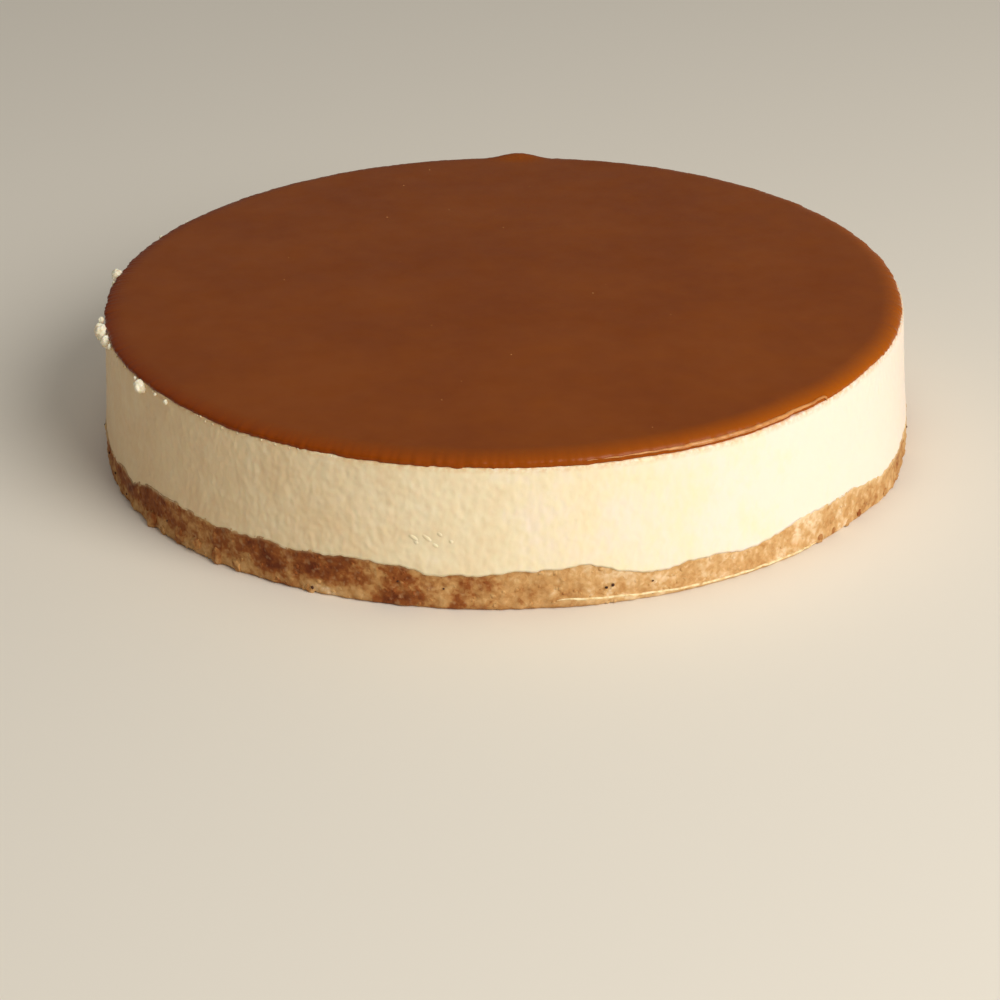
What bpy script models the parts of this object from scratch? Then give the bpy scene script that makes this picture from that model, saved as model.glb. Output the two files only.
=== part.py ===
"""A whole baked cheesecake of three layers: pressed crumb base, set cheese filling, poured spread.

Each layer is one closed body, lofted from rings that follow the slightly uneven wall left by the
tin. Metres, +Z up, origin at the centre of the underside. The front is -Y; azimuths are degrees
counter-clockwise from +X, seen from above.
"""

import math

import bmesh
import bpy
from mathutils import Vector, noise

MM = 0.001

# The tin and the height of the whole
SEGMENTS = 120                 # straight runs round the cake
RIM_RADIUS = 127.4 * MM        # wall radius just under the spread
FOOT_RADIUS = 129.5 * MM       # mean radius where the base stands
CAKE_HEIGHT = 48.8 * MM        # flat top of the spread
LAYER_GAP = 0.3 * MM           # clearance between two layers
FOOT_OVAL = 1.9 * MM           # how much wider the foot is from left to right
FOOT_BULGE = 1.5 * MM          # crumbs pushed out at the front right of the foot
FOOT_BULGE_AT = -25.0
FOOT_BULGE_WIDTH = 13.0
FOOT_FLARE = 1.6               # above one, the side spreads mostly near the foot
FOOT_ROUND = 1.2 * MM          # broken bottom edge of the base
WALL_WOBBLE = 0.35 * MM        # hand-pressed unevenness of the base's side

# Height of the base round the wall: azimuth in degrees, height in millimetres
BASE_TOP_KNOTS = (
    (-159, 13.8), (-151, 15.3), (-137, 13.9), (-130, 13.1), (-124, 14.6), (-118, 13.7),
    (-110, 14.6), (-97, 11.8), (-87, 13.5), (-80, 14.0), (-71, 8.7), (-66, 10.4), (-57, 8.8),
    (-48, 11.9), (-38, 11.9), (-32, 13.5), (-24, 11.0), (2, 12.6), (38, 11.0), (72, 12.8),
    (104, 11.6), (140, 13.2), (176, 12.2),
)
BASE_CORE_HEIGHT = 11.5 * MM   # level top of the base away from the wall
CORE_INSET = 13.0 * MM         # how far in from the wall the layers run level

# Height of the filling's edge under the spread
SEAM_KNOTS = (
    (-160, 46.6), (-143, 46.7), (-125, 46.0), (-100, 45.6), (-76, 45.0), (-60, 44.5),
    (-48, 45.1), (-32, 46.1), (-12, 45.6), (30, 45.4), (75, 45.6), (120, 46.0),
)
FILLING_CORE_HEIGHT = 45.0 * MM

# The spread: rolled edge, set back from the wall on the right, a drawn-out peak and a folded lip
ROLL_WIDTH = 6.5 * MM
ROLL_STEPS = 6
EDGE_SHARE = 0.25              # upright part of the edge, as a share of the edge's height
SETBACK_MEAN = 0.35 * MM
SETBACK_SWING = 0.75 * MM
SETBACK_AT = 15.0
PEAK_AT = 87.0
PEAK_HEIGHT = 1.9 * MM
PEAK_HALF_WIDTH = 6.0
LIP_FROM = -80.0
LIP_TO = -41.0
LIP_OVERHANG = 0.7 * MM


def between_knots(knots, azimuth):
    """Value in metres at an azimuth, eased between the two neighbouring knots."""
    closed = list(knots) + [(knots[0][0] + 360.0, knots[0][1])]
    angle = (azimuth - closed[0][0]) % 360.0 + closed[0][0]
    for (start, low), (end, high) in zip(closed, closed[1:]):
        if start <= angle <= end:
            share = (angle - start) / (end - start)
            ease = share * share * (3.0 - 2.0 * share)
            return (low + (high - low) * ease) * MM
    return closed[0][1] * MM


def hump(azimuth, centre, half_width):
    """One at the centre, falling smoothly to nothing at half_width degrees away."""
    away = abs((azimuth - centre + 180.0) % 360.0 - 180.0)
    return 0.5 + 0.5 * math.cos(math.pi * min(away / half_width, 1.0))


def wall_radius(azimuth, height):
    """Radius of the cake's side: the foot spreads a little wider than the rim."""
    twice = math.cos(math.radians(2.0 * azimuth))
    foot = FOOT_RADIUS + FOOT_OVAL * twice + FOOT_BULGE * hump(azimuth, FOOT_BULGE_AT, FOOT_BULGE_WIDTH)
    share = (1.0 - height / CAKE_HEIGHT) ** FOOT_FLARE
    return RIM_RADIUS + (foot - RIM_RADIUS) * share


def base_top(azimuth):
    return between_knots(BASE_TOP_KNOTS, azimuth)


def seam(azimuth):
    return between_knots(SEAM_KNOTS, azimuth)


def setback(azimuth):
    drawn_in = SETBACK_MEAN + SETBACK_SWING * math.cos(math.radians(azimuth - SETBACK_AT))
    return max(drawn_in, 0.0)


def lip(azimuth):
    """How far the spread's edge folds out over the filling along the front right."""
    middle = (LIP_FROM + LIP_TO) / 2.0
    half = (LIP_TO - LIP_FROM) / 2.0
    return LIP_OVERHANG * min(1.0, 2.0 * hump(azimuth, middle, half))


def pressed(azimuth, height):
    """Shallow hollows and swellings of the pressed crumb wall."""
    angle = math.radians(azimuth)
    spot = Vector((math.cos(angle) * 14.0, math.sin(angle) * 14.0, height / MM * 0.16))
    return WALL_WOBBLE * noise.noise(spot)


def sheet_rings(edge_height, core_height, edge_radius, raised):
    """Three rings of the surface between two layers, from the wall in to where it runs level."""
    rings = []
    for share, inset in ((1.0, 0.0), (0.75, 0.35), (0.0, 1.0)):
        def place(azimuth, share=share, inset=inset):
            high = core_height + (edge_height(azimuth) - core_height) * share
            return edge_radius(azimuth) - CORE_INSET * inset, high + raised
        rings.append(place)
    return rings


def wall_rings(low, high, count, relief):
    """Rings up the side, strictly between the heights low(azimuth) and high(azimuth)."""
    rings = []
    for step in range(1, count + 1):
        def place(azimuth, share=step / (count + 1)):
            height = low(azimuth) + (high(azimuth) - low(azimuth)) * share
            return wall_radius(azimuth, height) + relief(azimuth, height), height
        rings.append(place)
    return rings


def layer(name, rings, material):
    """A closed body: rings from the underside's flat round the side to the top's flat."""
    mesh_data = bmesh.new()
    hoops = []
    for ring in rings:
        made = bmesh.ops.create_circle(mesh_data, cap_ends=False, segments=SEGMENTS, radius=1.0)
        for corner in made["verts"]:
            angle = math.atan2(corner.co.y, corner.co.x)
            radius, height = ring(math.degrees(angle))
            corner.co = Vector((radius * math.cos(angle), radius * math.sin(angle), height))
        mesh_data.edges.index_update()
        hoops.append(list({edge for corner in made["verts"] for edge in corner.link_edges}))
    for lower, upper in zip(hoops, hoops[1:]):
        bmesh.ops.bridge_loops(mesh_data, edges=lower + upper)
    bmesh.ops.edgeloop_fill(mesh_data, edges=hoops[0])
    bmesh.ops.edgeloop_fill(mesh_data, edges=hoops[-1])
    bmesh.ops.recalc_face_normals(mesh_data, faces=mesh_data.faces)
    bmesh.ops.triangulate(mesh_data, faces=mesh_data.faces, quad_method="SHORT_EDGE")
    mesh = bpy.data.meshes.new(name)
    mesh_data.to_mesh(mesh)
    mesh_data.free()
    mesh.shade_smooth()
    mesh.set_sharp_from_angle(angle=math.radians(40.0))
    mesh.materials.append(material)
    body = bpy.data.objects.new(name, mesh)
    bpy.context.scene.collection.objects.link(body)
    return body


def food_material(name, colour, roughness):
    material = bpy.data.materials.new(name)
    material.use_nodes = True
    shader = material.node_tree.nodes["Principled BSDF"]
    shader.inputs["Base Color"].default_value = (*colour, 1.0)
    shader.inputs["Roughness"].default_value = roughness
    shader.inputs["Metallic"].default_value = 0.0
    return material


def side_radius(edge_height):
    return lambda azimuth: wall_radius(azimuth, edge_height(azimuth))


def make_crumb_base():
    """Crushed biscuit pressed into the tin: flat below, its edge pushed up unevenly at the wall."""
    def foot_height(azimuth):
        return FOOT_ROUND

    def underside(azimuth):
        return wall_radius(azimuth, 0.0) - FOOT_ROUND, 0.0

    def foot(azimuth):
        return wall_radius(azimuth, FOOT_ROUND), FOOT_ROUND

    rings = [underside, foot]
    rings += wall_rings(foot_height, base_top, 3, pressed)
    rings += sheet_rings(base_top, BASE_CORE_HEIGHT, side_radius(base_top), 0.0)
    return layer("crumb_base", rings, food_material("pressed_crumb", (0.42, 0.22, 0.09), 0.85))


def make_cheese_filling():
    """The set cheese mix: it fills every dip of the base and stands straight up the wall."""
    def low(azimuth):
        return base_top(azimuth) + LAYER_GAP

    rings = sheet_rings(base_top, BASE_CORE_HEIGHT, side_radius(base_top), LAYER_GAP)[::-1]
    rings += wall_rings(low, seam, 6, lambda azimuth, height: 0.0)
    rings += sheet_rings(seam, FILLING_CORE_HEIGHT, side_radius(seam), 0.0)
    return layer("cheese_filling", rings, food_material("baked_cheese", (0.83, 0.70, 0.45), 0.55))


def make_spread_topping():
    """The spread: a level sheet with a rolled edge, one drawn-out peak and a folded front lip."""
    seat = side_radius(seam)

    def edge_radius(azimuth):
        return seat(azimuth) - setback(azimuth)

    def edge_top(azimuth):
        return seam(azimuth) + LAYER_GAP + EDGE_SHARE * (CAKE_HEIGHT - seam(azimuth))

    def lip_ring(azimuth):
        return edge_radius(azimuth) + lip(azimuth), edge_top(azimuth) - LAYER_GAP

    rings = sheet_rings(seam, FILLING_CORE_HEIGHT, edge_radius, LAYER_GAP)[::-1]
    rings.append(lip_ring)
    for step in range(ROLL_STEPS + 1):
        def roll(azimuth, turn=math.radians(90.0 * step / ROLL_STEPS)):
            drop = (CAKE_HEIGHT - edge_top(azimuth)) * (1.0 - math.sin(turn))
            outward = 1.0 - math.cos(turn)
            lifted = PEAK_HEIGHT * hump(azimuth, PEAK_AT, PEAK_HALF_WIDTH) * math.sin(2.0 * turn)
            return edge_radius(azimuth) - ROLL_WIDTH * outward, CAKE_HEIGHT - drop + lifted
        rings.append(roll)
    return layer("spread_topping", rings, food_material("caramel_spread", (0.16, 0.045, 0.012), 0.28))


for old in list(bpy.data.objects):
    bpy.data.objects.remove(old, do_unlink=True)

make_crumb_base()
make_cheese_filling()
make_spread_topping()
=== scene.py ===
import math

import bpy
import numpy as np
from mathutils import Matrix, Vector, noise
from mathutils.bvhtree import BVHTree


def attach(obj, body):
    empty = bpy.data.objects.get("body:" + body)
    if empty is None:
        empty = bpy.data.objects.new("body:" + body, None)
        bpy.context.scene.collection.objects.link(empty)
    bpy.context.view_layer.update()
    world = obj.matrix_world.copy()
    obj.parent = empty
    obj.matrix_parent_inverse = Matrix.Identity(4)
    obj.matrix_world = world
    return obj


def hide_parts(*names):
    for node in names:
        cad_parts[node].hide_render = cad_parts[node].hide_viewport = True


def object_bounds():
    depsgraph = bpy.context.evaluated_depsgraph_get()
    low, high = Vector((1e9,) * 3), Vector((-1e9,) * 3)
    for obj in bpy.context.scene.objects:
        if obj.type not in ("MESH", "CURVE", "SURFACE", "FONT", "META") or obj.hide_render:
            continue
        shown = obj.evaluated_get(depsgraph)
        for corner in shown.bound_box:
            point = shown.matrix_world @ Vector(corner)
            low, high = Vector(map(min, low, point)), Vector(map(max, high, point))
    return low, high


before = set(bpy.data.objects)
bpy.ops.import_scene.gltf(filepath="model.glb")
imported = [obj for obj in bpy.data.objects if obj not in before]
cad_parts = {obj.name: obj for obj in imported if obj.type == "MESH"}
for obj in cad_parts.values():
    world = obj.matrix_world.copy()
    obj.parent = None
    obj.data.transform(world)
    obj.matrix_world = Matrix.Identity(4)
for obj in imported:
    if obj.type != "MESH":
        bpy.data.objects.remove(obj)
cad_box = [[float(value) for value in corner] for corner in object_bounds()]


# ---------------------------------------------------------------------------------------------
# The crumb base: biscuits crushed to grains, bound with butter and pressed into the tin by hand,
# so that its side is a tight, mottled mosaic and its upper edge climbs and dips round the wall.
# ---------------------------------------------------------------------------------------------
MM = 0.001
AROUND = 1600                      # columns of every turned body
BASE_WALL_ROWS = 26
BASE_INSET = 0.5 * MM             # the pressed grains stand this far inside the base's outline
BASE_FOOT_ROUND = 1.3 * MM
GRAIN_SIZE = 1.5 * MM
GRAIN_DEPTH = 0.4 * MM
LUMP_SIZE = 4.5 * MM
LUMP_DEPTH = 1.1 * MM
SKIRT_FROM = -84.0                 # where butter ran out under the tin's wall, at the front right
SKIRT_TO = -45.0
SKIRT_REACH = 0.45 * MM
SKIRT_BUTTER = 0.12                # how much butter shows in the skirt, and cream in the top edge
TOP_CREAM = 0.45

azimuths = -180.0 + 360.0 * np.arange(AROUND) / AROUND
cosines = np.cos(np.radians(azimuths))
sines = np.sin(np.radians(azimuths))
MEAN_RADIUS = cad_box[1][0]


def ray_tree(node):
    """The CAD layer as something that rays can be cast at."""
    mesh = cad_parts[node].data
    return BVHTree.FromPolygons([v.co for v in mesh.vertices], [p.vertices for p in mesh.polygons])


def smoothed(values, degrees):
    """Values round the cake, with the straight runs of the CAD layer eased into curves."""
    turns = np.fft.rfftfreq(AROUND, d=1.0 / AROUND)
    width = np.radians(degrees)
    return np.fft.irfft(np.fft.rfft(values) * np.exp(-0.5 * (turns * width) ** 2), AROUND)


def side_radius(tree, heights):
    """Radius of a layer's side at one height for each azimuth."""
    found = []
    for cosine, sine, height in zip(cosines, sines, np.broadcast_to(heights, AROUND)):
        outside = Vector((0.2 * cosine, 0.2 * sine, height))
        found.append(tree.ray_cast(outside, Vector((-cosine, -sine, 0.0)))[0].xy.length)
    return smoothed(np.array(found), 1.1)


def face_height(tree, radii):
    """Height of a layer's top at one radius for each azimuth."""
    found = []
    for cosine, sine, radius in zip(cosines, sines, radii):
        above = Vector((radius * cosine, radius * sine, 0.1))
        found.append(tree.ray_cast(above, Vector((0.0, 0.0, -1.0)))[0].z)
    return smoothed(np.array(found), 1.1)


def wander(length, seed, amount):
    """A smooth random swing round the cake, whose waves are about so long."""
    across = MEAN_RADIUS / length
    found = [noise.noise(Vector((across * c, across * s, seed))) for c, s in zip(cosines, sines)]
    return amount * np.array(found)


def hump(centre, half_width):
    """One at the centre azimuth, falling smoothly to nothing half_width degrees away."""
    away = np.abs((azimuths - centre + 180.0) % 360.0 - 180.0)
    return 0.5 + 0.5 * np.cos(np.pi * np.minimum(away / half_width, 1.0))


def between(start, end, ease):
    """One from the start azimuth to the end azimuth, with ends eased over so many degrees."""
    rise = np.clip((azimuths - start) / ease, 0.0, 1.0)
    return rise * np.clip((end - azimuths) / ease, 0.0, 1.0)


def at_azimuth(values, places):
    """Values round the cake, read at some azimuths."""
    return np.interp(places, azimuths, values)


def turned_body(name, rows):
    """A closed body from rows (radius, height, {attribute: value}), underside first, top last."""
    radii = np.array([np.broadcast_to(row[0], AROUND) for row in rows])
    heights = np.array([np.broadcast_to(row[1], AROUND) for row in rows])
    points = np.stack([radii * cosines, radii * sines, heights], axis=-1).reshape(-1, 3)
    below = len(points)
    points = np.vstack([points, [0.0, 0.0, heights[0].mean()], [0.0, 0.0, heights[-1].mean()]])
    column = np.arange(AROUND)
    beside = (column + 1) % AROUND
    faces = []
    for row in range(len(rows) - 1):
        low, high = row * AROUND, (row + 1) * AROUND
        faces += np.stack([low + column, low + beside, high + beside, high + column], axis=1).tolist()
    last = (len(rows) - 1) * AROUND
    faces += np.stack([beside, column, np.full(AROUND, below)], axis=1).tolist()
    faces += np.stack([last + column, last + beside, np.full(AROUND, below + 1)], axis=1).tolist()
    mesh = bpy.data.meshes.new(name)
    mesh.from_pydata(points, [], faces)
    for label in rows[-1][2]:
        values = np.array([np.broadcast_to(row[2][label], AROUND) for row in rows]).ravel()
        ends = [values[:AROUND].mean(), values[-AROUND:].mean()]
        layer = mesh.attributes.new(label, "FLOAT", "POINT")
        layer.data.foreach_set("value", np.append(values, ends).astype(np.float32))
    mesh.shade_smooth()
    body = bpy.data.objects.new(name, mesh)
    bpy.context.scene.collection.objects.link(body)
    return body


def knot(tree, kind, inputs=None, **settings):
    """One node of a tree. Its inputs are numbers, or other nodes' outputs, by name or place."""
    made = tree.nodes.new(kind)
    for label, value in settings.items():
        setattr(made, label, value)
    for socket, value in (inputs or {}).items():
        if isinstance(value, bpy.types.NodeSocket):
            tree.links.new(value, made.inputs[socket])
        else:
            made.inputs[socket].default_value = value
    return made


def maths(tree, operation, *values):
    return knot(tree, "ShaderNodeMath", dict(enumerate(values)), operation=operation).outputs[0]


def vector_maths(tree, operation, *values):
    made = knot(tree, "ShaderNodeVectorMath", dict(enumerate(values)), operation=operation)
    return made.outputs["Value" if operation == "LENGTH" else "Vector"]


def scaled(tree, vector, amount):
    return knot(tree, "ShaderNodeVectorMath", {"Vector": vector, "Scale": amount},
                operation="SCALE").outputs["Vector"]


def centred(tree, value, amount):
    """A zero-to-one pattern moved to swing about nothing, and made so strong."""
    return maths(tree, "MULTIPLY", maths(tree, "SUBTRACT", value, 0.5), amount)


def remapped(tree, value, low, high, to_low, to_high):
    return knot(tree, "ShaderNodeMapRange",
                {"Value": value, 1: low, 2: high, 3: to_low, 4: to_high}).outputs[0]


def shape_tree(name, sizes):
    """A Geometry Nodes tree with named inputs, and its input node."""
    tree = bpy.data.node_groups.new(name, "GeometryNodeTree")
    tree.interface.new_socket("Geometry", in_out="INPUT", socket_type="NodeSocketGeometry")
    for label in sizes:
        tree.interface.new_socket(label, in_out="INPUT", socket_type="NodeSocketFloat")
    tree.interface.new_socket("Material", in_out="INPUT", socket_type="NodeSocketMaterial")
    tree.interface.new_socket("Geometry", in_out="OUTPUT", socket_type="NodeSocketGeometry")
    return tree, knot(tree, "NodeGroupInput")


def close_tree(tree, given, shape):
    """Ends a tree: its instances made real, its surface smooth and its finish set."""
    real = knot(tree, "GeometryNodeRealizeInstances", {"Geometry": shape})
    smooth = knot(tree, "GeometryNodeSetShadeSmooth", {"Geometry": real.outputs[0]})
    finish = knot(tree, "GeometryNodeSetMaterial",
                  {"Geometry": smooth.outputs[0], "Material": given.outputs["Material"]})
    knot(tree, "NodeGroupOutput", {"Geometry": finish.outputs[0]})
    return tree


def pushed(tree, given, offset):
    """Ends a tree that only moves the points of its shape."""
    moved = knot(tree, "GeometryNodeSetPosition", {"Geometry": given.outputs["Geometry"],
                                                   "Offset": offset})
    return close_tree(tree, given, moved.outputs[0])


def attribute_of(tree, label):
    return knot(tree, "GeometryNodeInputNamedAttribute", {"Name": label}, data_type="FLOAT").outputs[0]


def grown(source, name, tree, **values):
    """The plain mesh that a tree makes from source, as a new piece. Source itself is unchanged."""
    made = source.modifiers.new("shape", "NODES")
    made.node_group = tree
    for item in tree.interface.items_tree:
        if item.item_type == "SOCKET" and item.in_out == "INPUT" and item.name != "Geometry":
            made[item.identifier] = values[item.name.lower().replace(" ", "_")]
    graph = bpy.context.evaluated_depsgraph_get()
    mesh = bpy.data.meshes.new_from_object(source.evaluated_get(graph), preserve_all_data_layers=True,
                                           depsgraph=graph)
    mesh.name = name
    source.modifiers.clear()
    piece = bpy.data.objects.new(name, mesh)
    bpy.context.scene.collection.objects.link(piece)
    return piece


def colour(red, green, blue):
    """A finish colour from its usual 0 to 255 values, as the linear one that shaders take."""
    def linear(value):
        share = value / 255.0
        return share / 12.92 if share <= 0.04045 else ((share + 0.055) / 1.055) ** 2.4
    return (linear(red), linear(green), linear(blue), 1.0)


def food_finish(name, roughness, gloss, softness, reach):
    """A moist food surface: a Principled shader with a little light let under the surface."""
    material = bpy.data.materials.new(name)
    material.use_nodes = True
    tree = material.node_tree
    shader = tree.nodes["Principled BSDF"]
    shader.inputs["Roughness"].default_value = roughness
    shader.inputs["Specular IOR Level"].default_value = gloss
    shader.inputs["Subsurface Weight"].default_value = softness
    shader.inputs["Subsurface Scale"].default_value = reach
    shader.inputs["Subsurface Radius"].default_value = (1.0, 0.5, 0.25)
    return material, tree, shader, knot(tree, "ShaderNodeTexCoord").outputs["Object"]


def noise_of(tree, where, size, detail=2.0, roughness=0.5, swirl=0.0):
    return knot(tree, "ShaderNodeTexNoise", {"Vector": where, "Scale": 1.0 / size, "Detail": detail,
                                             "Roughness": roughness, "Distortion": swirl}).outputs[0]


def grain_of(tree, where, size):
    """A random value for each grain of about this size."""
    cells = knot(tree, "ShaderNodeTexVoronoi", {"Vector": where, "Scale": 1.0 / size})
    return knot(tree, "ShaderNodeSeparateColor", {"Color": cells.outputs["Color"]}).outputs[0]


def painted(tree, label):
    """The values that the mesh carries under this name."""
    return knot(tree, "ShaderNodeAttribute", attribute_name=label).outputs["Fac"]


def ramp_of(tree, factor, stops):
    made = knot(tree, "ShaderNodeValToRGB", {"Fac": factor})
    stop_list = made.color_ramp.elements
    for place, shade in stops[1:-1]:
        stop_list.new(place).color = shade
    stop_list[0].position, stop_list[0].color = stops[0]
    stop_list[-1].position, stop_list[-1].color = stops[-1]
    return made.outputs["Color"]


def mixed(tree, factor, first, second):
    return knot(tree, "ShaderNodeMix", {0: factor, 6: first, 7: second}, data_type="RGBA").outputs[2]


def dented(tree, shader, height, strength, depth):
    bump = knot(tree, "ShaderNodeBump", {"Height": height, "Strength": strength, "Distance": depth})
    tree.links.new(bump.outputs["Normal"], shader.inputs["Normal"])


def biscuit_finish():
    """Baked crumb: smeared grains of several browns, buttery at the skirt; paler front right, darker and
    redder left, partly own browning, partly painted light and shade.
    """
    material, tree, shader, where = food_finish("pressed_biscuit", 0.75, 0.25, 0.1, 0.0015)
    patches = noise_of(tree, where, 7.5 * MM, 2.0, 0.5, 0.5)
    mottle = noise_of(tree, where, 2.6 * MM, 2.0, 0.6, 0.3)
    tone = maths(tree, "ADD", centred(tree, patches, 0.65), centred(tree, mottle, 0.5))
    tone = maths(tree, "ADD", tone, centred(tree, grain_of(tree, where, 1.2 * MM), 0.1))
    # The mesh's pale values hold painted light on the front right and painted shade on the left, as well
    # as the crumb's own uneven browning.
    tone = maths(tree, "ADD", tone, maths(tree, "ADD", painted(tree, "pale"), 0.46))
    browns = [(0.12, colour(108, 47, 11)), (0.34, colour(148, 82, 31)), (0.5, colour(186, 134, 76)),
              (0.68, colour(210, 164, 106)), (0.88, colour(240, 210, 168))]
    body = ramp_of(tree, tone, browns)
    fleck = remapped(tree, noise_of(tree, where, 1.8 * MM, 1.0), 0.56, 0.74, 0.0, 0.18)
    body = mixed(tree, fleck, body, colour(226, 194, 142))
    body = mixed(tree, painted(tree, "butter"), body, colour(238, 210, 158))
    tree.links.new(body, shader.inputs["Base Color"])
    dented(tree, shader, noise_of(tree, where, 0.7 * MM, 2.0, 0.6), 0.35, 0.2 * MM)
    return material


def pressed_tree():
    """Pushes the base's side out into packed grains and broader lumps."""
    tree, given = shape_tree("pressed crumb", ("Grain Size", "Grain Depth", "Lump Size", "Lump Depth"))
    where = knot(tree, "GeometryNodeInputPosition").outputs[0]
    outward = knot(tree, "GeometryNodeInputNormal").outputs[0]
    cells = knot(tree, "ShaderNodeTexVoronoi",
                 {"Vector": where, "Scale": maths(tree, "DIVIDE", 1.0, given.outputs["Grain Size"])},
                 feature="SMOOTH_F1")
    grains = maths(tree, "MULTIPLY", maths(tree, "SUBTRACT", 0.45, cells.outputs["Distance"]),
                   given.outputs["Grain Depth"])
    lumps = knot(tree, "ShaderNodeTexNoise",
                 {"Vector": where, "Detail": 2.0,
                  "Scale": maths(tree, "DIVIDE", 1.0, given.outputs["Lump Size"])}).outputs[0]
    relief = maths(tree, "ADD", grains, centred(tree, lumps, given.outputs["Lump Depth"]))
    relief = maths(tree, "MULTIPLY", relief, attribute_of(tree, "side"))
    return pushed(tree, given, scaled(tree, outward, relief))


base_tree = ray_tree("crumb_base")
foot_radius = side_radius(base_tree, BASE_FOOT_ROUND) - BASE_INSET
base_edge = side_radius(base_tree, 5.0 * MM)
base_top = face_height(base_tree, base_edge - 0.6 * MM)
base_top += wander(7.0 * MM, 3.0, 0.9 * MM) + wander(2.2 * MM, 7.0, 0.5 * MM)
base_core = float(face_height(base_tree, np.full(AROUND, 0.05)).mean())
foot_radius += wander(3.0 * MM, 17.0, 0.4 * MM) - 0.1 * MM

skirt_top = (1.2 + 1.9 * np.clip((-64.0 - azimuths) / 20.0, 0.0, 1.0)) * MM
skirt = between(SKIRT_FROM, SKIRT_TO, 1.2)
# Paleness round the base: partly the crumb's own uneven browning, partly painted light and shade, paler on
# the lit front right and darker and redder on the shaded left.
paleness_and_light = 0.1 * hump(-80.0, 24.0) + 0.3 * hump(-55.0, 33.0) + 0.12 * hump(-22.0, 20.0)
paleness_and_light += wander(45.0 * MM, 21.0, 0.1)
upper_paleness_and_light = paleness_and_light - 0.24 * hump(-120.0, 19.0) - 0.16 * hump(-152.0, 26.0)
lower_paleness_and_light = paleness_and_light + 0.16 * hump(-143.0, 20.0) + 0.18 * hump(-114.0, 6.5) - 0.2 * hump(-105.0, 7.0)

base_rows = [(share * foot_radius, 0.0, {"side": 0.0, "pale": lower_paleness_and_light, "butter": 0.0})
             for share in (0.3, 0.65, 0.9, 0.96)]
for step in range(4):
    turn = math.radians(90.0 * step / 3)
    base_rows.append((foot_radius - BASE_FOOT_ROUND * (1.0 - math.sin(turn)) + SKIRT_REACH * skirt,
                      BASE_FOOT_ROUND * (1.0 - math.cos(turn)),
                      {"side": step / 3, "pale": lower_paleness_and_light, "butter": SKIRT_BUTTER * skirt}))
for step in range(1, BASE_WALL_ROWS + 1):
    height = BASE_FOOT_ROUND + (base_top - BASE_FOOT_ROUND) * step / BASE_WALL_ROWS
    wall = foot_radius + (base_edge - BASE_INSET - foot_radius) * np.minimum(height / (5.0 * MM), 1.0)
    spilt = skirt * np.clip((skirt_top - height) / (0.4 * MM) + 0.5, 0.0, 1.0)
    raised = np.clip((height - 3.0 * MM) / (3.0 * MM), 0.0, 1.0)
    creamed = TOP_CREAM * np.clip(1.0 - (base_top - height) / (1.3 * MM), 0.0, 1.0)
    base_rows.append((wall + SKIRT_REACH * spilt, height,
                      {"side": 1.0 - 0.5 * spilt, "butter": SKIRT_BUTTER * spilt + creamed,
                       "pale": lower_paleness_and_light + (upper_paleness_and_light - lower_paleness_and_light) * raised}))
base_wall_top = base_rows[-1][0]
for inset, share in ((0.7, 1.0), (4.5, 0.75), (13.0, 0.0)):
    base_rows.append((base_wall_top - inset * MM, base_core + (base_top - base_core) * share,
                      {"side": 0.0, "pale": upper_paleness_and_light, "butter": TOP_CREAM}))

biscuit = biscuit_finish()
base_blank = turned_body("base_blank", base_rows)
base = grown(base_blank, "pressed_base", pressed_tree(), grain_size=GRAIN_SIZE, grain_depth=GRAIN_DEPTH,
             lump_size=LUMP_SIZE, lump_depth=LUMP_DEPTH, material=biscuit)
bpy.data.objects.remove(base_blank)


# ---------------------------------------------------------------------------------------------
# Crumbs on the base: grains and small clods that came half loose when the tin was lifted off.
# They cling to the side and the foot, a few burnt ones among them, with larger clods at the foot.
# ---------------------------------------------------------------------------------------------
CRUMB_SIZE = 1.5 * MM
CRUMB_DENSITY = 60000.0            # crumbs on a square metre of the side
LUMP_KINDS = 4
# Clods at the foot: azimuth, height in millimetres, size in millimetres
FOOT_CLODS = ((-153.0, 1.8, 3.6), (-147.2, 2.7, 6.6), (-144.0, 1.4, 3.4), (-140.0, 2.9, 6.0),
              (-136.2, 3.6, 4.2), (-132.4, 2.5, 5.6), (-128.6, 1.9, 4.4), (-117.0, 1.2, 3.0),
              (-43.8, 1.5, 2.8), (-41.0, 1.7, 2.2), (-37.6, 1.3, 2.6), (-34.8, 1.9, 3.2),
              (-31.0, 1.4, 2.4), (-27.5, 2.2, 2.8), (-22.0, 1.6, 3.0), (24.0, 1.5, 3.0),
              (63.0, 1.7, 2.6), (118.0, 1.6, 4.6), (149.0, 2.0, 2.8))


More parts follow.
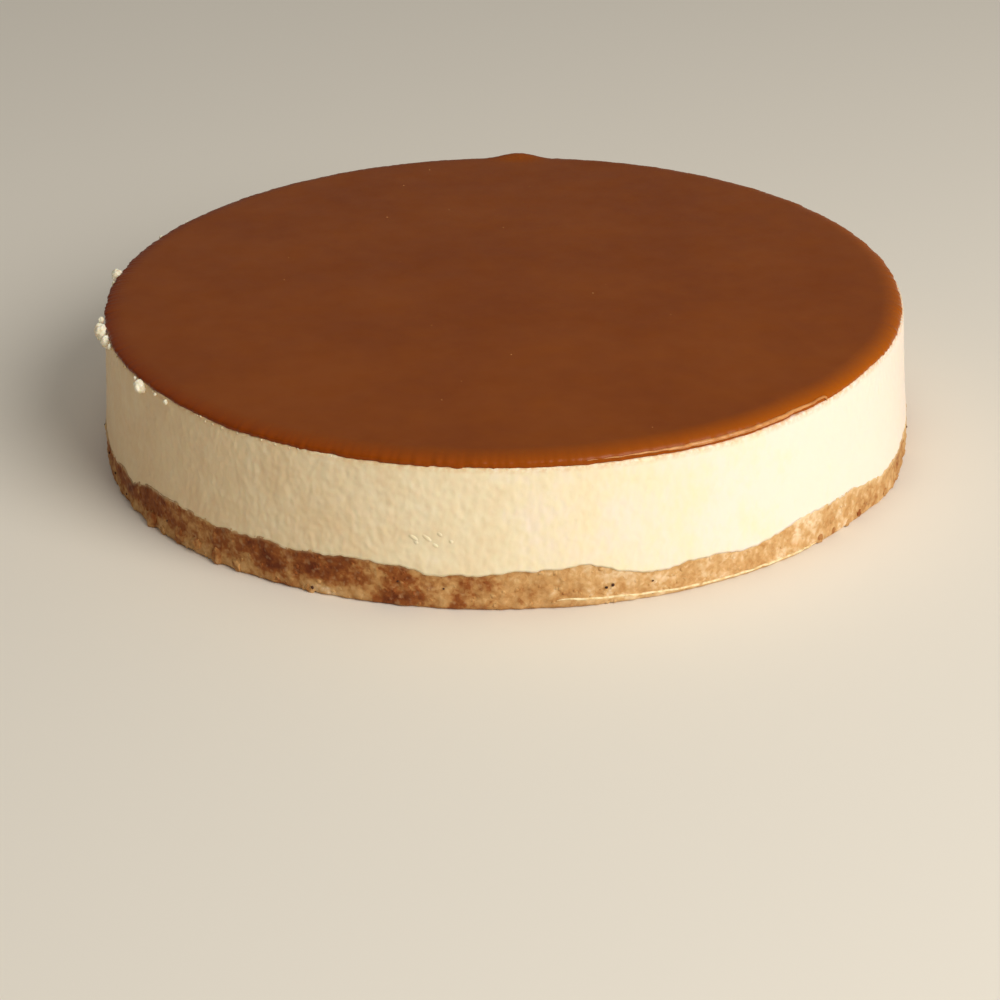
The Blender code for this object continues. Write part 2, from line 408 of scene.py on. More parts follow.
def strewn_tree(name, on_faces, upward=False, roundness=2):
    """Lumps on a surface, or at given points: several shapes, each turned and sized by chance."""
    tree, given = shape_tree(name, ("Size", "Size Spread", "Flatness", "Lumpiness", "Sink", "Density"))
    place = knot(tree, "GeometryNodeInputPosition").outputs[0]
    outward = knot(tree, "GeometryNodeInputNormal").outputs[0]
    shapes = knot(tree, "GeometryNodeJoinGeometry")
    for kind in range(LUMP_KINDS):
        ball = knot(tree, "GeometryNodeMeshIcoSphere", {"Radius": 0.5, "Subdivisions": roundness})
        apart = vector_maths(tree, "ADD", place, (9.0 * kind, 0.0, 0.0))
        swell = knot(tree, "ShaderNodeTexNoise", {"Vector": apart, "Scale": 2.6, "Detail": 1.0}).outputs[0]
        swell = centred(tree, swell, given.outputs["Lumpiness"])
        lump = knot(tree, "GeometryNodeSetPosition", {"Geometry": ball.outputs["Mesh"],
                                                      "Offset": scaled(tree, outward, swell)})
        single = knot(tree, "GeometryNodeGeometryToInstance", {"Geometry": lump.outputs[0]})
        tree.links.new(single.outputs[0], shapes.inputs[0])
    size = knot(tree, "FunctionNodeRandomValue",
                {2: maths(tree, "SUBTRACT", 1.0, given.outputs["Size Spread"]),
                 3: maths(tree, "ADD", 1.0, given.outputs["Size Spread"]), 8: 1}).outputs[1]
    size = maths(tree, "MULTIPLY", size, given.outputs["Size"])
    if on_faces:
        wanted = maths(tree, "MULTIPLY", given.outputs["Density"], attribute_of(tree, "side"))
        points = knot(tree, "GeometryNodeDistributePointsOnFaces",
                      {"Mesh": given.outputs["Geometry"], "Density": wanted, "Seed": 5}).outputs["Points"]
    else:
        points = knot(tree, "GeometryNodeMeshToPoints", {"Mesh": given.outputs["Geometry"]}).outputs[0]
        size = maths(tree, "MULTIPLY", size, attribute_of(tree, "size"))
    if upward:
        facing = knot(tree, "ShaderNodeCombineXYZ", {2: 1.0}).outputs[0]
    else:
        facing = vector_maths(tree, "NORMALIZE", vector_maths(tree, "MULTIPLY", place, (1.0, 1.0, 0.0)))
    sunk = knot(tree, "GeometryNodeSetPosition",
                {"Geometry": points, "Offset": scaled(tree, facing, maths(
                    tree, "MULTIPLY", maths(tree, "MULTIPLY", size, given.outputs["Sink"]), -1.0))})
    spin = knot(tree, "FunctionNodeRandomValue", {2: 0.0, 3: 2.0 * math.pi, 8: 2}).outputs[1]
    spin = knot(tree, "ShaderNodeCombineXYZ", {2: spin}).outputs[0]
    spin = knot(tree, "FunctionNodeEulerToRotation", {"Euler": spin}).outputs[0]
    stood = knot(tree, "FunctionNodeAlignRotationToVector", {"Vector": facing}, axis="Z").outputs[0]
    turned = knot(tree, "FunctionNodeRotateRotation", {"Rotation": stood, "Rotate By": spin},
                  rotation_space="LOCAL").outputs[0]
    narrow = knot(tree, "FunctionNodeRandomValue", {2: 0.65, 3: 1.0, 8: 3}).outputs[1]
    scale = knot(tree, "ShaderNodeCombineXYZ",
                 {0: size, 1: maths(tree, "MULTIPLY", size, narrow),
                  2: maths(tree, "MULTIPLY", size, given.outputs["Flatness"])}).outputs[0]
    placed = knot(tree, "GeometryNodeInstanceOnPoints",
                  {"Points": sunk.outputs[0], "Instance": shapes.outputs[0], "Pick Instance": True,
                   "Rotation": turned, "Scale": scale})
    real = knot(tree, "GeometryNodeRealizeInstances", {"Geometry": placed.outputs[0]})
    axes = knot(tree, "ShaderNodeSeparateXYZ", {0: place}).outputs
    rested = knot(tree, "ShaderNodeCombineXYZ", {0: axes[0], 1: axes[1],
                                                 2: maths(tree, "MAXIMUM", axes[2], 0.0)})
    grounded = knot(tree, "GeometryNodeSetPosition", {"Geometry": real.outputs[0],
                                                      "Position": rested.outputs[0]})
    return close_tree(tree, given, grounded.outputs[0])


def spots(name, rows):
    """Points to set lumps on, from rows of azimuth, radius, height and size."""
    mesh = bpy.data.meshes.new(name)
    points = [(radius * math.cos(math.radians(azimuth)), radius * math.sin(math.radians(azimuth)), height)
              for azimuth, radius, height, size in rows]
    mesh.from_pydata(points, [], [])
    sizes = mesh.attributes.new("size", "FLOAT", "POINT")
    sizes.data.foreach_set("value", [row[3] for row in rows])
    holder = bpy.data.objects.new(name, mesh)
    bpy.context.scene.collection.objects.link(holder)
    return holder


def speck_finish(name, darker, lighter, roughness):
    """Something too small to show more than its two tones."""
    material, tree, shader, where = food_finish(name, roughness, 0.3, 0.05, 0.001)
    tone = remapped(tree, noise_of(tree, where, 0.8 * MM, 2.0), 0.35, 0.65, 0.0, 1.0)
    tree.links.new(mixed(tree, tone, darker, lighter), shader.inputs["Base Color"])
    return material


def wall_spots(count, seed, low, high, radii):
    """Rows for random points on the side, between two heights given for each azimuth."""
    chance = np.random.default_rng(seed)
    places = chance.uniform(-180.0, 179.7, count)
    heights = at_azimuth(low, places) + at_azimuth(high - low, places) * chance.uniform(0.0, 1.0, count)
    sizes = chance.uniform(0.6, 1.0, count)
    return list(zip(places, at_azimuth(radii, places), heights, sizes))


crumbs = grown(base, "clinging_crumbs", strewn_tree("clinging crumbs", True), size=CRUMB_SIZE,
               size_spread=0.45, flatness=0.55, lumpiness=0.5, sink=0.15, density=CRUMB_DENSITY,
               material=biscuit)

clod_points = spots("clod_points", [(azimuth, float(at_azimuth(foot_radius, azimuth)), height * MM,
                                     size * MM) for azimuth, height, size in FOOT_CLODS])
clods = grown(clod_points, "foot_clods", strewn_tree("foot clods", False, roundness=4), size=1.0,
              size_spread=0.05, flatness=0.5, lumpiness=0.6, sink=0.1, density=0.0, material=biscuit)
bpy.data.objects.remove(clod_points)

burnt = speck_finish("burnt_crumb", colour(36, 18, 10), colour(92, 48, 22), 0.6)
burnt_rows = [(-76.7, float(at_azimuth(base_edge, -76.7)), 6.3 * MM, 1.3),
              (-98.5, float(at_azimuth(base_edge, -98.5)), 7.1 * MM, 0.9)]
burnt_rows += wall_spots(26, 31, np.full(AROUND, 1.5 * MM), base_top - 1.0 * MM, base_edge)
burnt_points = spots("burnt_points", burnt_rows)
specks = grown(burnt_points, "burnt_specks", strewn_tree("burnt specks", False), size=0.9 * MM,
               size_spread=0.3, flatness=0.6, lumpiness=0.4, sink=0.25, density=0.0, material=burnt)
bpy.data.objects.remove(burnt_points)

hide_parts("crumb_base")
for piece in (base, crumbs, clods, specks):
    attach(piece, "root")


# ---------------------------------------------------------------------------------------------
# The skirt: butter and cream that ran out under the tin's wall at the front right and set there.
# Its upper edge stands out as a thin pale bead along the foot of the base.
# ---------------------------------------------------------------------------------------------
SKIRT_BEAD = 0.34 * MM             # radius of the bead
SKIRT_POINTS = 220


def guide(name, points, girths, edges=None):
    """Open lines of edges that beads are swept along, with the bead's radius at each point."""
    mesh = bpy.data.meshes.new(name)
    mesh.from_pydata(points, edges or [(place, place + 1) for place in range(len(points) - 1)], [])
    girth = mesh.attributes.new("girth", "FLOAT", "POINT")
    girth.data.foreach_set("value", girths)
    line = bpy.data.objects.new(name, mesh)
    bpy.context.scene.collection.objects.link(line)
    return line


def round_the_cake(places, radii, heights):
    angles = np.radians(places)
    return np.stack([radii * np.cos(angles), radii * np.sin(angles), heights], axis=1).tolist()


def bead_tree(name):
    """A bead swept along a line, a little uneven."""
    tree, given = shape_tree(name, ("Ripple Size", "Ripple Depth"))
    line = knot(tree, "GeometryNodeMeshToCurve", {"Mesh": given.outputs["Geometry"]})
    ring = knot(tree, "GeometryNodeCurvePrimitiveCircle", {"Resolution": 14, "Radius": 1.0})
    bead = knot(tree, "GeometryNodeCurveToMesh",
                {"Curve": line.outputs[0], "Profile Curve": ring.outputs[0],
                 "Scale": attribute_of(tree, "girth"), "Fill Caps": True})
    where = knot(tree, "GeometryNodeInputPosition").outputs[0]
    outward = knot(tree, "GeometryNodeInputNormal").outputs[0]
    ripple = knot(tree, "ShaderNodeTexNoise",
                  {"Vector": where, "Detail": 1.0,
                   "Scale": maths(tree, "DIVIDE", 1.0, given.outputs["Ripple Size"])}).outputs[0]
    ripple = centred(tree, ripple, given.outputs["Ripple Depth"])
    uneven = knot(tree, "GeometryNodeSetPosition", {"Geometry": bead.outputs[0],
                                                    "Offset": scaled(tree, outward, ripple)})
    return close_tree(tree, given, uneven.outputs[0])


def butter_finish():
    """Set butter with fine crumb in it: pale, with a soft shine."""
    material, tree, shader, where = food_finish("set_butter", 0.4, 0.4, 0.15, 0.0015)
    tone = noise_of(tree, where, 1.6 * MM, 2.0)
    body = ramp_of(tree, tone, [(0.35, colour(226, 190, 128)), (0.6, colour(246, 224, 176))])
    tree.links.new(body, shader.inputs["Base Color"])
    return material


skirt_places = np.linspace(SKIRT_FROM, SKIRT_TO, SKIRT_POINTS)
skirt_line = guide("skirt_line", round_the_cake(
    skirt_places, at_azimuth(foot_radius, skirt_places) + SKIRT_REACH - 0.1 * MM,
    at_azimuth(skirt_top + wander(5.0 * MM, 23.0, 0.35 * MM), skirt_places)),
    SKIRT_BEAD * np.clip(6.0 * np.sin(np.linspace(0.0, math.pi, SKIRT_POINTS)), 0.25, 1.0))
skirt_bead = grown(skirt_line, "skirt_bead", bead_tree("skirt bead"), ripple_size=1.8 * MM,
                   ripple_depth=0.4 * MM, material=butter_finish())
bpy.data.objects.remove(skirt_line)
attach(skirt_bead, "root")


# ---------------------------------------------------------------------------------------------
# The filling: cream cheese and egg, baked until set. It was freed from the tin with a knife, which
# left a straight side with fine upright drag marks, soft lumps and a few torn spots.
# ---------------------------------------------------------------------------------------------
FILLING_WALL_ROWS = 52
STREAK_WIDTH = 1.6 * MM
STREAK_LENGTH = 3.0 * MM
STREAK_DEPTH = 0.3 * MM
SWELL_SIZE = 8.0 * MM
SWELL_DEPTH = 0.5 * MM
DIMPLE_GAP = 2.0 * MM
DIMPLE_DIP = 0.42 * MM
FILLING_EDGE_ROUND = 0.25 * MM
WAIST = 24.0 * MM                  # heights at which the side's radius is read
ANKLE = 16.0 * MM
SHOULDER = 40.0 * MM


def cheese_finish():
    """Set cheese filling: cream, deeper to the left partly in its own tone and partly as painted shade,
    stained brown where it meets the spread.
    """
    material, tree, shader, where = food_finish("set_cheese", 0.5, 0.3, 0.18, 0.0025)
    stretched = vector_maths(tree, "MULTIPLY", where, (1.0, 1.0, 0.6))
    streaks = noise_of(tree, stretched, 2.2 * MM, 2.0, 0.5, 0.4)
    cloud = noise_of(tree, where, 14.0 * MM, 2.0)
    aside = knot(tree, "ShaderNodeSeparateXYZ", {"Vector": where}).outputs["X"]
    tone = maths(tree, "ADD", centred(tree, streaks, 0.3), centred(tree, cloud, 0.5))
    # Deeper cream towards the left (negative X), away from the lamp: partly the filling's own tone, partly
    # painted shade.
    tone = maths(tree, "ADD", tone, remapped(tree, aside, -0.128, 0.1, 0.08, 0.8))
    body = ramp_of(tree, tone, [(0.06, colour(235, 203, 157)), (0.24, colour(240, 213, 168)),
                                (0.5, colour(247, 229, 190)), (0.72, colour(249, 230, 208))])
    fuzz = noise_of(tree, where, 1.4 * MM, 2.0)
    fuzzy = maths(tree, "MULTIPLY", painted(tree, "stain"), remapped(tree, fuzz, 0.35, 0.65, 0.1, 0.8))
    body = mixed(tree, fuzzy, body, colour(222, 172, 112))
    tree.links.new(body, shader.inputs["Base Color"])
    sheen = remapped(tree, noise_of(tree, where, 4.0 * MM, 2.0), 0.3, 0.7, 0.4, 0.62)
    tree.links.new(sheen, shader.inputs["Roughness"])
    dented(tree, shader, noise_of(tree, where, 1.2 * MM, 2.0), 0.15, 0.2 * MM)
    return material


def dragged_tree():
    """Draws upright drag marks, broad swells and soft dimples down the filling's side."""
    tree, given = shape_tree("dragged side", ("Streak Width", "Streak Length", "Streak Depth",
                                              "Swell Size", "Swell Depth", "Dimple Gap", "Dimple Dip"))
    where = knot(tree, "GeometryNodeInputPosition").outputs[0]
    outward = knot(tree, "GeometryNodeInputNormal").outputs[0]
    across = maths(tree, "DIVIDE", 1.0, given.outputs["Streak Width"])
    along = maths(tree, "DIVIDE", 1.0, given.outputs["Streak Length"])
    pull = knot(tree, "ShaderNodeCombineXYZ", {0: across, 1: across, 2: along}).outputs[0]
    streaks = knot(tree, "ShaderNodeTexNoise",
                   {"Vector": vector_maths(tree, "MULTIPLY", where, pull), "Scale": 1.0, "Detail": 2.0,
                    "Distortion": 0.5}).outputs[0]
    streaks = centred(tree, streaks, given.outputs["Streak Depth"])
    swells = knot(tree, "ShaderNodeTexNoise",
                  {"Vector": where, "Detail": 2.0,
                   "Scale": maths(tree, "DIVIDE", 1.0, given.outputs["Swell Size"])}).outputs[0]
    swells = centred(tree, swells, given.outputs["Swell Depth"])
    dimples = knot(tree, "ShaderNodeTexNoise",
                   {"Vector": where, "Detail": 1.0,
                    "Scale": maths(tree, "DIVIDE", 1.0, given.outputs["Dimple Gap"])}).outputs[0]
    dimples = centred(tree, dimples, given.outputs["Dimple Dip"])
    relief = maths(tree, "ADD", maths(tree, "ADD", streaks, swells), dimples)
    relief = maths(tree, "MULTIPLY", relief, attribute_of(tree, "side"))
    return pushed(tree, given, scaled(tree, outward, relief))


filling_tree = ray_tree("cheese_filling")
filling_rim = side_radius(filling_tree, SHOULDER)
filling_waist = side_radius(filling_tree, WAIST)
filling_ankle = side_radius(filling_tree, ANKLE)
seam = face_height(filling_tree, filling_rim - 0.3 * MM)
filling_core = float(face_height(filling_tree, np.full(AROUND, 0.05)).mean())
filling_low = base_top - 0.5 * MM
unevenness = 0.4 + 0.6 * hump(-140.0, 100.0) + 0.3 * hump(60.0, 80.0)

filling_rows = []
for inset, share in ((13.0, 0.0), (4.5, 0.75), (0.8, 1.0)):
    filling_rows.append((filling_ankle - inset * MM,
                         base_core + 0.1 * MM + (filling_low - base_core) * share,
                         {"side": 0.0, "stain": 0.0}))
for step in range(FILLING_WALL_ROWS + 1):
    height = filling_low + (seam - filling_low) * step / FILLING_WALL_ROWS
    upper = filling_waist + (filling_rim - filling_waist) * (height - WAIST) / (SHOULDER - WAIST)
    lower = filling_ankle + (filling_waist - filling_ankle) * (height - ANKLE) / (WAIST - ANKLE)
    wall = np.where(height < WAIST, lower, upper)
    below_seam = seam - height
    wall = wall - FILLING_EDGE_ROUND * np.maximum(1.0 - below_seam / (1.2 * MM), 0.0) ** 2
    filling_rows.append((wall, height, {
        "side": unevenness * np.clip(below_seam / (1.0 * MM), 0.15, 1.0),
        "stain": np.clip(1.0 - below_seam / (2.0 * MM), 0.0, 1.0)}))
for inset, share in ((1.2, 1.0), (2.6, 0.95), (4.5, 0.75), (13.0, 0.0)):
    filling_rows.append((filling_rim - inset * MM, filling_core + (seam - filling_core) * share,
                         {"side": 0.0, "stain": 1.0}))

cheese = cheese_finish()
filling_blank = turned_body("filling_blank", filling_rows)
filling = grown(filling_blank, "set_filling", dragged_tree(), streak_width=STREAK_WIDTH,
                streak_length=STREAK_LENGTH, streak_depth=STREAK_DEPTH, swell_size=SWELL_SIZE,
                swell_depth=SWELL_DEPTH, dimple_gap=DIMPLE_GAP, dimple_dip=DIMPLE_DIP, material=cheese)
bpy.data.objects.remove(filling_blank)
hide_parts("cheese_filling")


# ---------------------------------------------------------------------------------------------
# Curds: bits of set filling that the knife dragged up. A few large ones hang on the left of the rim,
# fine ones are pressed into the filling's edge behind, and torn flakes lie flat on the front.
# ---------------------------------------------------------------------------------------------
FINE_CURDS = 110
CLEAN_FROM = -100.0                # azimuths between which the knife left no fine curds
CLEAN_TO = 20.0
FLAKE_RADIUS = 1.1 * MM
FLAKE_SINK = 0.92 * MM             # a flake's middle line lies this far inside the side
FLAKE_POINTS = 12
# Large curds at the rim: azimuth, reach past the rim and height in millimetres, size in millimetres
RIM_CURDS = ((171.2, 0.9, 46.5, 4.4), (174.0, 0.2, 46.1, 2.1), (-171.2, 0.8, 47.2, 2.5),
             (-168.0, 1.3, 46.3, 5.4), (-165.0, 0.6, 45.6, 3.9), (-162.4, 0.2, 46.1, 1.8),
             (-148.3, 0.7, 45.5, 4.2), (-150.4, 0.1, 46.3, 1.1), (-144.4, 0.1, 46.0, 1.0),
             (-141.6, 0.2, 45.7, 1.5), (155.5, 0.2, 46.8, 1.6), (148.5, 0.2, 46.9, 1.5))
# Torn flakes on the side: azimuth and height in millimetres of both ends
TORN_FLAKES = (((-103.4, 25.0), (-101.2, 21.2)), ((-101.4, 24.6), (-99.6, 21.6)),
               ((-100.2, 22.2), (-98.8, 19.8)), ((-99.4, 25.6), (-98.2, 23.4)),
               ((-102.4, 22.4), (-101.4, 20.6)), ((-97.8, 23.2), (-96.9, 21.4)))


def curd_finish():
    """Filling fresh from under the skin: paler than the side, whose cream is deeper towards the left,
    partly its own tone and partly painted shade.
    """
    material, tree, shader, where = food_finish("fresh_curd", 0.5, 0.3, 0.15, 0.002)
    tone = noise_of(tree, where, 1.5 * MM, 2.0)
    body = ramp_of(tree, tone, [(0.35, colour(238, 222, 186)), (0.65, colour(250, 240, 214))])
    tree.links.new(body, shader.inputs["Base Color"])
    return material


fresh = curd_finish()
curd_rows = [(azimuth, float(at_azimuth(filling_rim, azimuth)) + reach * MM, height * MM, size)
             for azimuth, reach, height, size in RIM_CURDS]
curd_points = spots("curd_points", curd_rows)
curds = grown(curd_points, "rim_curds", strewn_tree("rim curds", False, roundness=4), size=1.0 * MM,
              size_spread=0.1, flatness=0.8, lumpiness=0.35, sink=0.0, density=0.0, material=fresh)
bpy.data.objects.remove(curd_points)

fine_rows = [row for row in wall_spots(FINE_CURDS, 41, seam - 0.9 * MM, seam, filling_rim)
             if not CLEAN_FROM < row[0] < CLEAN_TO]
fine_points = spots("fine_points", fine_rows)
fine_curds = grown(fine_points, "fine_curds", strewn_tree("fine curds", False), size=1.0 * MM,
                   size_spread=0.45, flatness=0.6, lumpiness=0.4, sink=0.3, density=0.0, material=cheese)
bpy.data.objects.remove(fine_points)

flake_points, flake_edges, flake_girths = [], [], []
for (start, high), (end, low) in TORN_FLAKES:
    places = np.linspace(start, end, FLAKE_POINTS)
    first = len(flake_points)
    flake_points += round_the_cake(places, at_azimuth(filling_waist, places) - FLAKE_SINK,
                                   np.linspace(high, low, FLAKE_POINTS) * MM)
    flake_edges += [(place, place + 1) for place in range(first, first + FLAKE_POINTS - 1)]
    flake_girths += list(FLAKE_RADIUS * np.sin(np.linspace(0.15, math.pi - 0.3, FLAKE_POINTS)) ** 0.7)
flake_guide = guide("flake_guide", flake_points, flake_girths, flake_edges)
flakes = grown(flake_guide, "torn_flakes", bead_tree("torn flakes"), ripple_size=1.2 * MM,
               ripple_depth=0.3 * MM, material=cheese)
bpy.data.objects.remove(flake_guide)

for piece in (filling, curds, fine_curds, flakes):
    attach(piece, "root")


# ---------------------------------------------------------------------------------------------
# The spread: warm caramelised-biscuit spread poured on and turned level with a palette knife. It
# set with a rolled edge, slightly ragged below, and one peak where the knife was lifted away.
# ---------------------------------------------------------------------------------------------
ROLL_WIDTH = 6.5 * MM
ROLL_ROWS = 16
TOP_ROWS = 34
EDGE_SHARE = 0.25                  # upright part of the edge, as a share of its height
SAG_REACH = 0.5 * MM               # where the edge sagged over the filling at the right
SAG_DROP = 1.0 * MM
PEAK_AT = 87.0
PEAK_HALF_WIDTH = 5.8
PEAK_HEIGHT = 1.85 * MM
SWIRL_PITCH = 5.0 * MM
SWIRL_DEPTH = 0.07 * MM
DIMPLE_SIZE = 22.0 * MM
DIMPLE_DEPTH = 0.12 * MM
LIP_FROM = -80.0                   # where the edge folded over on itself, at the front right
LIP_TO = -41.0


def spread_finish():
    """Smooth oily spread: deep brown, more orange where it thins at the edge, that edge darker left and
    brighter right as painted shade and light, unevenly glossy.
    """
    material, tree, shader, where = food_finish("caramel_spread", 0.32, 0.12, 0.1, 0.002)
    cloud = noise_of(tree, where, 40.0 * MM, 2.0)
    turned = noise_of(tree, where, 7.0 * MM, 2.0)
    tone = maths(tree, "ADD", maths(tree, "MULTIPLY", cloud, 0.7), maths(tree, "MULTIPLY", turned, 0.3))
    body = ramp_of(tree, tone, [(0.35, colour(126, 59, 7)), (0.65, colour(136, 67, 11))])
    # The thin edge's colour runs from dark on the left to bright orange on the right: mostly painted shade
    # on the left and painted light from the lamp on the right.
    aside = knot(tree, "ShaderNodeSeparateXYZ", {"Vector": where}).outputs["X"]
    edge_with_painted_shade = mixed(tree, remapped(tree, aside, -0.12, 0.12, 0.0, 1.0), colour(124, 46, 0),
                 colour(164, 82, 4))
    body = mixed(tree, painted(tree, "thin"), body, edge_with_painted_shade)
    tree.links.new(body, shader.inputs["Base Color"])
    gloss = remapped(tree, noise_of(tree, where, 12.0 * MM, 3.0), 0.3, 0.7, 0.28, 0.42)
    tree.links.new(gloss, shader.inputs["Roughness"])
    return material


def swirled_tree():
    """Leaves the faint rings and dimples of the palette knife on the level top."""
    tree, given = shape_tree("swirled top", ("Swirl Pitch", "Swirl Depth", "Dimple Size", "Dimple Depth"))
    where = knot(tree, "GeometryNodeInputPosition").outputs[0]
    flat = vector_maths(tree, "MULTIPLY", where, (1.0, 1.0, 0.0))
    reach = maths(tree, "DIVIDE", vector_maths(tree, "LENGTH", flat), given.outputs["Swirl Pitch"])
    ring = knot(tree, "ShaderNodeCombineXYZ", {2: reach}).outputs[0]
    ring = vector_maths(tree, "ADD", ring, scaled(tree, vector_maths(tree, "NORMALIZE", flat), 1.4))
    rings = knot(tree, "ShaderNodeTexNoise", {"Vector": ring, "Scale": 1.0, "Detail": 1.0}).outputs[0]
    rings = centred(tree, rings, given.outputs["Swirl Depth"])
    dimples = knot(tree, "ShaderNodeTexNoise",
                   {"Vector": flat, "Detail": 1.0,
                    "Scale": maths(tree, "DIVIDE", 1.0, given.outputs["Dimple Size"])}).outputs[0]
    dimples = centred(tree, dimples, given.outputs["Dimple Depth"])
    relief = maths(tree, "MULTIPLY", maths(tree, "ADD", rings, dimples), attribute_of(tree, "level"))
    return pushed(tree, given, knot(tree, "ShaderNodeCombineXYZ", {2: relief}).outputs[0])


spread_tree = ray_tree("spread_topping")
spread_level = float(face_height(spread_tree, np.full(AROUND, 0.06)).mean())
spread_edge = side_radius(spread_tree, seam + 1.2 * MM) - 0.55 * MM * between(LIP_FROM, LIP_TO, 6.0)
spread_edge += wander(9.0 * MM, 11.0, 0.35 * MM) + wander(2.6 * MM, 12.0, 0.22 * MM)
spread_edge += wander(1.6 * MM, 15.0, 0.7 * MM) * (hump(174.0, 24.0) + 0.3)
spread_edge += SAG_REACH * hump(-20.0, 32.0)
spread_low = seam + wander(6.0 * MM, 13.0, 0.4 * MM) + wander(2.0 * MM, 14.0, 0.28 * MM)
spread_low -= SAG_DROP * hump(-22.0, 32.0)
spread_high = spread_low + EDGE_SHARE * (spread_level - spread_low)
peak = PEAK_HEIGHT * hump(PEAK_AT, PEAK_HALF_WIDTH) ** 1.1

spread_rows = [(share * spread_edge, filling_core + 0.2 * MM, {"thin": 0.0, "level": 0.0})
               for share in (0.4, 0.9)]
spread_rows.append((spread_edge - 1.0 * MM, spread_low, {"thin": 1.0, "level": 0.0}))
for step in range(4):
    bulge = 0.15 * MM * math.sin(math.radians(30.0 + 60.0 * step / 4))
    spread_rows.append((spread_edge - 0.15 * MM + bulge,
                        spread_low + (spread_high - spread_low) * step / 4, {"thin": 1.0, "level": 0.0}))
for step in range(ROLL_ROWS + 1):
    turn = math.radians(90.0 * step / ROLL_ROWS)
    height = spread_high + (spread_level - spread_high) * math.sin(turn)
    share = 1.0 - math.cos(turn)
    spread_rows.append((spread_edge - ROLL_WIDTH * share, height + peak * math.sin(2.0 * turn),
                        {"thin": (1.0 - share) ** 1.5, "level": share ** 4}))
for step in range(1, TOP_ROWS):
    spread_rows.append(((spread_edge - ROLL_WIDTH) * (1.0 - step / TOP_ROWS), spread_level,
                        {"thin": 0.0, "level": 1.0}))

spread_blank = turned_body("spread_blank", spread_rows)
spread = grown(spread_blank, "spread_sheet", swirled_tree(), swirl_pitch=SWIRL_PITCH,
               swirl_depth=SWIRL_DEPTH, dimple_size=DIMPLE_SIZE, dimple_depth=DIMPLE_DEPTH,
               material=spread_finish())
bpy.data.objects.remove(spread_blank)
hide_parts("spread_topping")


# ---------------------------------------------------------------------------------------------
# The folded lip: along the front right the setting spread was pushed out by the knife and rolled
# over into a thin paler bead, which ends in a small hook. A few crumbs lie on the level top.
# ---------------------------------------------------------------------------------------------
LIP_POINTS = 300
LIP_BEAD = 0.62 * MM               # largest radius of the bead
LIP_RISE = 1.4 * MM                # its centre above the filling's edge
HOOK_AT = -43.3
HOOK_RADIUS = 1.45 * MM
HOOK_POINTS = 24
TOP_SPECKS = 14


def lip_finish():
    """Spread smeared thin with cream: a lighter toffee colour with a soft shine."""
    material, tree, shader, where = food_finish("smeared_spread", 0.35, 0.4, 0.12, 0.002)
    tone = noise_of(tree, where, 3.0 * MM, 2.0)
    body = ramp_of(tree, tone, [(0.35, colour(186, 116, 54)), (0.62, colour(212, 146, 82))])
    tree.links.new(body, shader.inputs["Base Color"])
    return material


lip_places = np.linspace(LIP_FROM, HOOK_AT, LIP_POINTS)
lip_radii = at_azimuth(spread_edge, lip_places) + 0.05 * MM
lip_heights = at_azimuth(smoothed(seam, 3.0), lip_places) + LIP_RISE
lip_line = round_the_cake(lip_places, lip_radii, lip_heights)
for step in range(1, HOOK_POINTS + 1):
    turn = math.radians(125.0 * step / HOOK_POINTS)
    along = math.degrees(HOOK_RADIUS * math.sin(turn) / lip_radii[-1])
    lip_line += round_the_cake(np.array([HOOK_AT + along]), lip_radii[-1:] + 0.25 * MM * math.sin(turn),
                               lip_heights[-1:] - HOOK_RADIUS * (1.0 - math.cos(turn)))
lip_girths = LIP_BEAD * np.clip((lip_places - LIP_FROM) / 16.0, 0.12, 1.0)
lip_girths *= 1.0 - 0.35 * np.clip((lip_places + 52.0) / 6.0, 0.0, 1.0)
hook_girths = lip_girths[-1] * np.linspace(1.0, 0.55, HOOK_POINTS)
lip_guide = guide("lip_guide", lip_line, np.append(lip_girths, hook_girths))
lip = grown(lip_guide, "folded_lip", bead_tree("folded lip"), ripple_size=4.0 * MM,
            ripple_depth=0.35 * MM, material=lip_finish())
bpy.data.objects.remove(lip_guide)

chance = np.random.default_rng(51)
speck_rows = [(122.0, 74.7 * MM, spread_level, 1.1), (-17.4, 29.7 * MM, spread_level, 0.9),
              (174.0, 71.5 * MM, spread_level, 0.9)]
speck_rows += [(azimuth, MEAN_RADIUS * math.sqrt(share), spread_level, size) for azimuth, share, size in
               zip(chance.uniform(-180.0, 180.0, TOP_SPECKS), chance.uniform(0.02, 0.8, TOP_SPECKS),
                   chance.uniform(0.4, 0.8, TOP_SPECKS))]
speck_points = spots("speck_points", speck_rows)
toffee = speck_finish("toffee_speck", colour(168, 98, 44), colour(206, 146, 84), 0.5)
top_specks = grown(speck_points, "top_specks", strewn_tree("top specks", False, True), size=0.8 * MM,
                   size_spread=0.2, flatness=0.4, lumpiness=0.6, sink=0.05, density=0.0,
                   material=toffee)
bpy.data.objects.remove(speck_points)

for piece in (spread, lip, top_specks):
    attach(piece, "root")


# ---------------------------------------------------------------------------------------------
# The studio: a plain pale floor, one broad soft lamp from the front right and a dim room that is
# brighter overhead. The camera looks down at the front of the cake from a little above its top.
# ---------------------------------------------------------------------------------------------
FLOOR_SIZE = 6.0
LOOK_DISTANCE = 0.8067
LOOK_ELEVATION = math.radians(22.01)
LOOK_PITCH = math.radians(26.94)
LOOK_PAN = math.radians(0.061)
LOOK_ROLL = math.radians(-1.09)
LOOK_ASIDE = -1.7 * MM
KEY_AZIMUTH = math.radians(-47.0)
KEY_ELEVATION = math.radians(34.0)
KEY_DISTANCE = 1.6
KEY_SIZE = 1.1
KEY_POWER = 22.7
ROOM_LOW = 0.13                    # strength of the room at the horizon
ROOM_RISE = 0.36                   # and how much more there is overhead


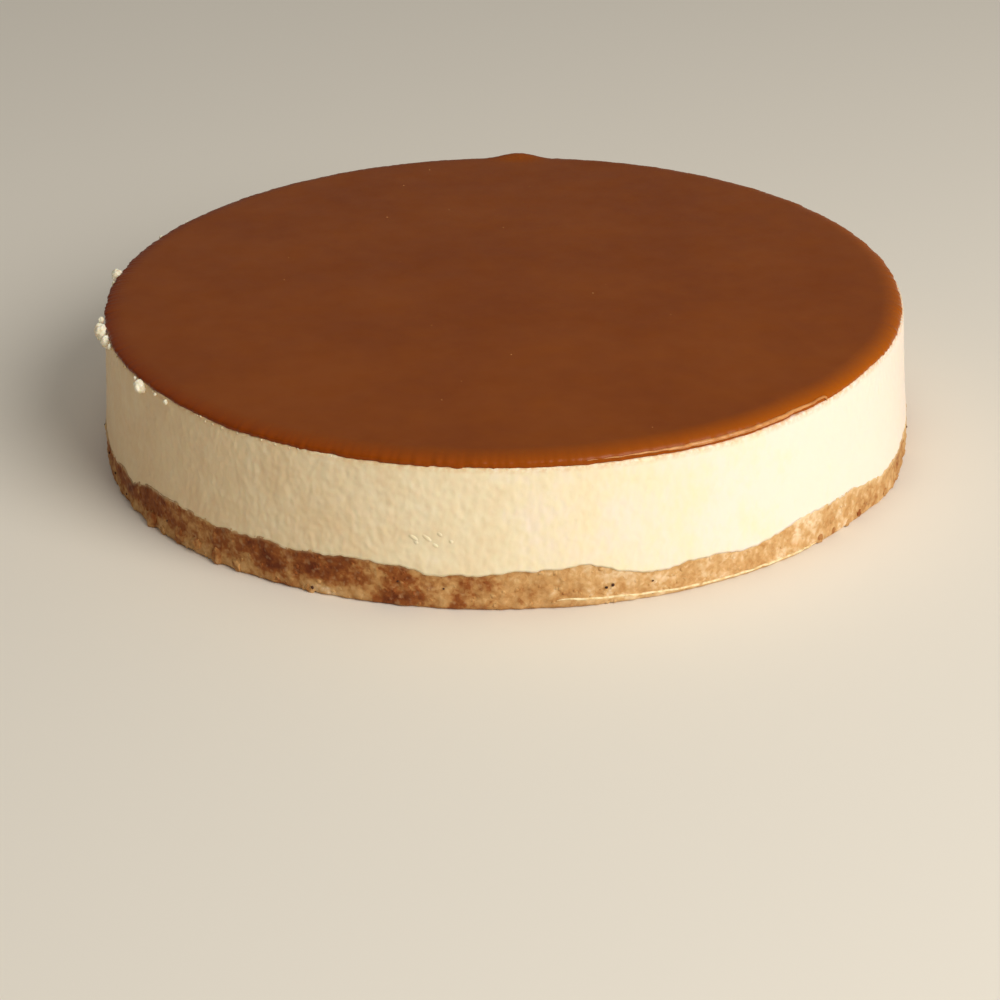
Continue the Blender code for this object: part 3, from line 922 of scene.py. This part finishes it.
def make_floor():
    mesh = bpy.data.meshes.new("floor")
    half = FLOOR_SIZE / 2.0
    mesh.from_pydata([(-half, -half, 0.0), (half, -half, 0.0), (half, half, 0.0), (-half, half, 0.0)],
                     [], [(0, 1, 2, 3)])
    material = bpy.data.materials.new("pale_floor")
    material.use_nodes = True
    shader = material.node_tree.nodes["Principled BSDF"]
    shader.inputs["Base Color"].default_value = colour(236, 226, 208)
    shader.inputs["Roughness"].default_value = 0.7
    shader.inputs["Specular IOR Level"].default_value = 0.2
    mesh.materials.append(material)
    floor = bpy.data.objects.new("floor", mesh)
    bpy.context.scene.collection.objects.link(floor)


def make_lamp():
    lamp = bpy.data.lights.new("key", "AREA")
    lamp.shape = "DISK"
    lamp.size = KEY_SIZE
    lamp.energy = KEY_POWER
    holder = bpy.data.objects.new("key", lamp)
    flat = math.cos(KEY_ELEVATION)
    away = Vector((math.cos(KEY_AZIMUTH) * flat, math.sin(KEY_AZIMUTH) * flat, math.sin(KEY_ELEVATION)))
    holder.location = away * KEY_DISTANCE
    holder.rotation_euler = away.to_track_quat("Z", "Y").to_euler()
    bpy.context.scene.collection.objects.link(holder)


def make_room():
    room = bpy.data.worlds.new("room")
    room.use_nodes = True
    tree = room.node_tree
    overhead = knot(tree, "ShaderNodeSeparateXYZ",
                    {0: knot(tree, "ShaderNodeTexCoord").outputs["Generated"]}).outputs["Z"]
    overhead = maths(tree, "POWER", maths(tree, "MAXIMUM", overhead, 0.0), 2.0)
    strength = maths(tree, "MULTIPLY_ADD", overhead, ROOM_RISE, ROOM_LOW)
    background = tree.nodes["Background"]
    background.inputs["Color"].default_value = (1.0, 1.0, 1.0, 1.0)
    tree.links.new(strength, background.inputs["Strength"])
    bpy.context.scene.world = room


def make_camera():
    lens = bpy.data.cameras.new("camera")
    lens.lens = 90.0
    lens.sensor_width = 36.0
    holder = bpy.data.objects.new("camera", lens)
    holder.location = (LOOK_ASIDE, -LOOK_DISTANCE * math.cos(LOOK_ELEVATION),
                       spread_level + LOOK_DISTANCE * math.sin(LOOK_ELEVATION))
    holder.rotation_euler = (math.pi / 2.0 - LOOK_PITCH, 0.0, LOOK_PAN)
    holder.rotation_euler.rotate_axis("Z", LOOK_ROLL)
    bpy.context.scene.collection.objects.link(holder)
    bpy.context.scene.camera = holder


make_floor()
make_lamp()
make_room()
make_camera()
bpy.context.scene.view_settings.view_transform = "Standard"
